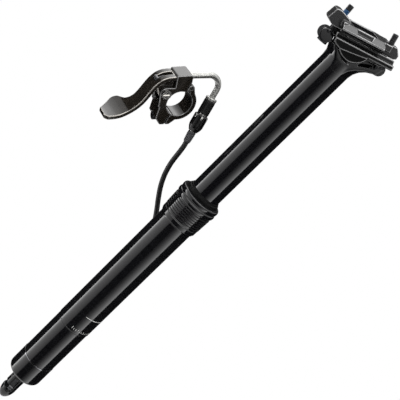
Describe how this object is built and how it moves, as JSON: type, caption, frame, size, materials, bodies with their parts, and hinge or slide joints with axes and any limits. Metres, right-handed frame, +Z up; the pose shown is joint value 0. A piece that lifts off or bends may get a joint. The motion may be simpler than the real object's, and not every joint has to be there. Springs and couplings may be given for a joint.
{
  "type": "dropper seatpost",
  "caption": "Telescoping dropper seatpost with a two-bolt saddle rail clamp, a bar-mounted thumb remote and its control cable.",
  "frame": {"origin": "on the post's axis at the collar's lower face, where the frame's seat tube stops", "axes": "+Z up the post, +X to the rear of the bicycle, +Y to its right"},
  "size_m": [0.136, 0.0823, 0.4538],
  "materials": {
    "black_alloy": "satin anodised",
    "grey_alloy": "satin gunmetal",
    "silver_alloy": "polished",
    "steel": "plated",
    "black_steel": "black oxide",
    "brass": "turned",
    "bushing_plastic": "moulded",
    "rubber": "matt",
    "cable_jacket": "extruded"
  },
  "bodies": {
    "base": {"outer_tube": "black_alloy", "end_cap": "black_alloy", "cap_ring": "silver_alloy", "collar": "black_alloy", "wiper_seal": "rubber", "upper_bushing": "bushing_plastic", "top_out_bumper": "rubber", "bottom_bumper": "rubber", "cartridge_rod": "silver_alloy", "rod_piston": "silver_alloy", "rod_nut": "steel", "actuator_housing": "black_alloy", "crank_pin": "steel"},
    "upper": {"stanchion": "black_alloy", "seat_head": "black_alloy", "lower_bushing": "bushing_plastic", "guide_keys": "brass", "cartridge_tube": "silver_alloy", "cartridge_gland": "silver_alloy", "cartridge_cap": "silver_alloy", "clamp_bolts": "black_steel", "clamp_washers": "steel"},
    "gas_piston": {"floating_piston": "silver_alloy"},
    "saddle_clamp": {"lower_cradle": "black_alloy", "upper_clamp": "black_alloy"},
    "nut_front": {"front_nut": "steel"},
    "nut_rear": {"rear_nut": "steel"},
    "remote": {"remote_bracket": "black_alloy", "bar_strap": "black_alloy", "strap_pin": "steel", "strap_bolt": "steel", "pivot_screw": "steel", "pivot_nut": "steel", "noodle": "silver_alloy", "adjuster_cap": "silver_alloy", "adjuster_sleeve": "black_alloy", "adjuster_core": "silver_alloy", "cable_boot": "rubber", "cable_upper": "cable_jacket", "cable_hank": "cable_jacket", "cable_lower": "cable_jacket", "hank_tie": "rubber", "end_ferrule": "silver_alloy"},
    "thumb_lever": {"lever": "grey_alloy", "lever_bush": "brass", "lever_nipple": "steel"},
    "wire": {"pull_wire": "steel"},
    "barrel": {"adjuster_barrel": "black_alloy"},
    "wire_tail": {"wire_end": "steel"},
    "bell_crank": {"crank": "steel"},
    "valve": {"valve_pin": "steel"}
  },
  "joints": [
    {"name": "post_drop", "type": "slide", "parent": "base", "child": "upper", "axis": [0, 0, -1], "range_m": [0, 0.125], "stiffness_N_per_m": 800, "springref_m": -0.3},
    {"name": "gas_piston_rise", "type": "slide", "parent": "upper", "child": "gas_piston", "axis": [0, 0, 1], "range_m": [0, 0.047]},
    {"name": "saddle_tilt", "type": "hinge", "parent": "upper", "child": "saddle_clamp", "pos_m": [-0.0026, 0, 0.1988], "axis": [0, 1, 0], "range_deg": [-3.5, 3.5]},
    {"name": "front_nut_run", "type": "slide", "parent": "upper", "child": "nut_front", "axis": [-0.0785, 0, 0.9969], "range_m": [-0.0014, 0.0014]},
    {"name": "rear_nut_run", "type": "slide", "parent": "upper", "child": "nut_rear", "axis": [-0.289, 0, 0.9573], "range_m": [-0.0017, 0.0017]},
    {"name": "cable_unhook", "type": "slide", "parent": "base", "child": "remote", "axis": [-1, 0, 0], "range_m": [0, 0.06]},
    {"name": "lever_press", "type": "hinge", "parent": "remote", "child": "thumb_lever", "pos_m": [-0.0795, 0.029, 0.0655], "axis": [0.522, -0.8504, 0.0658], "range_deg": [0, 18], "stiffness_Nm_per_rad": 0.6, "springref_deg": -20.05},
    {"name": "wire_pull", "type": "slide", "parent": "remote", "child": "wire", "axis": [-0.6953, -0.469, -0.5446], "range_m": [0, 0.004]},
    {"name": "tension_adjust", "type": "hinge", "parent": "remote", "child": "barrel", "pos_m": [-0.03794, 0.04582, 0.06104], "axis": [0.2292, -0.1191, -0.9661], "continuous": true},
    {"name": "wire_tail_pull", "type": "slide", "parent": "remote", "child": "wire_tail", "axis": [0, 1, 0], "range_m": [0, 0.004]},
    {"name": "crank_turn", "type": "hinge", "parent": "base", "child": "bell_crank", "pos_m": [0, -0.0022, -0.206], "axis": [1, 0, 0], "range_deg": [0, 25]},
    {"name": "valve_lift", "type": "slide", "parent": "base", "child": "valve", "axis": [0, 0, 1], "range_m": [0, 0.001]}
  ],
  "couplings": [
    {"joint": "gas_piston_rise", "follows": "post_drop", "ratio": 0.36731},
    {"joint": "front_nut_run", "follows": "saddle_tilt", "m_per_rad": 0.01957},
    {"joint": "rear_nut_run", "follows": "saddle_tilt", "m_per_rad": -0.02466},
    {"joint": "wire_pull", "follows": "lever_press", "m_per_rad": 0.012},
    {"joint": "wire_tail_pull", "follows": "lever_press", "m_per_rad": 0.012},
    {"joint": "crank_turn", "follows": "lever_press", "ratio": 1.3333},
    {"joint": "valve_lift", "follows": "lever_press", "m_per_rad": 0.002933}
  ]
}
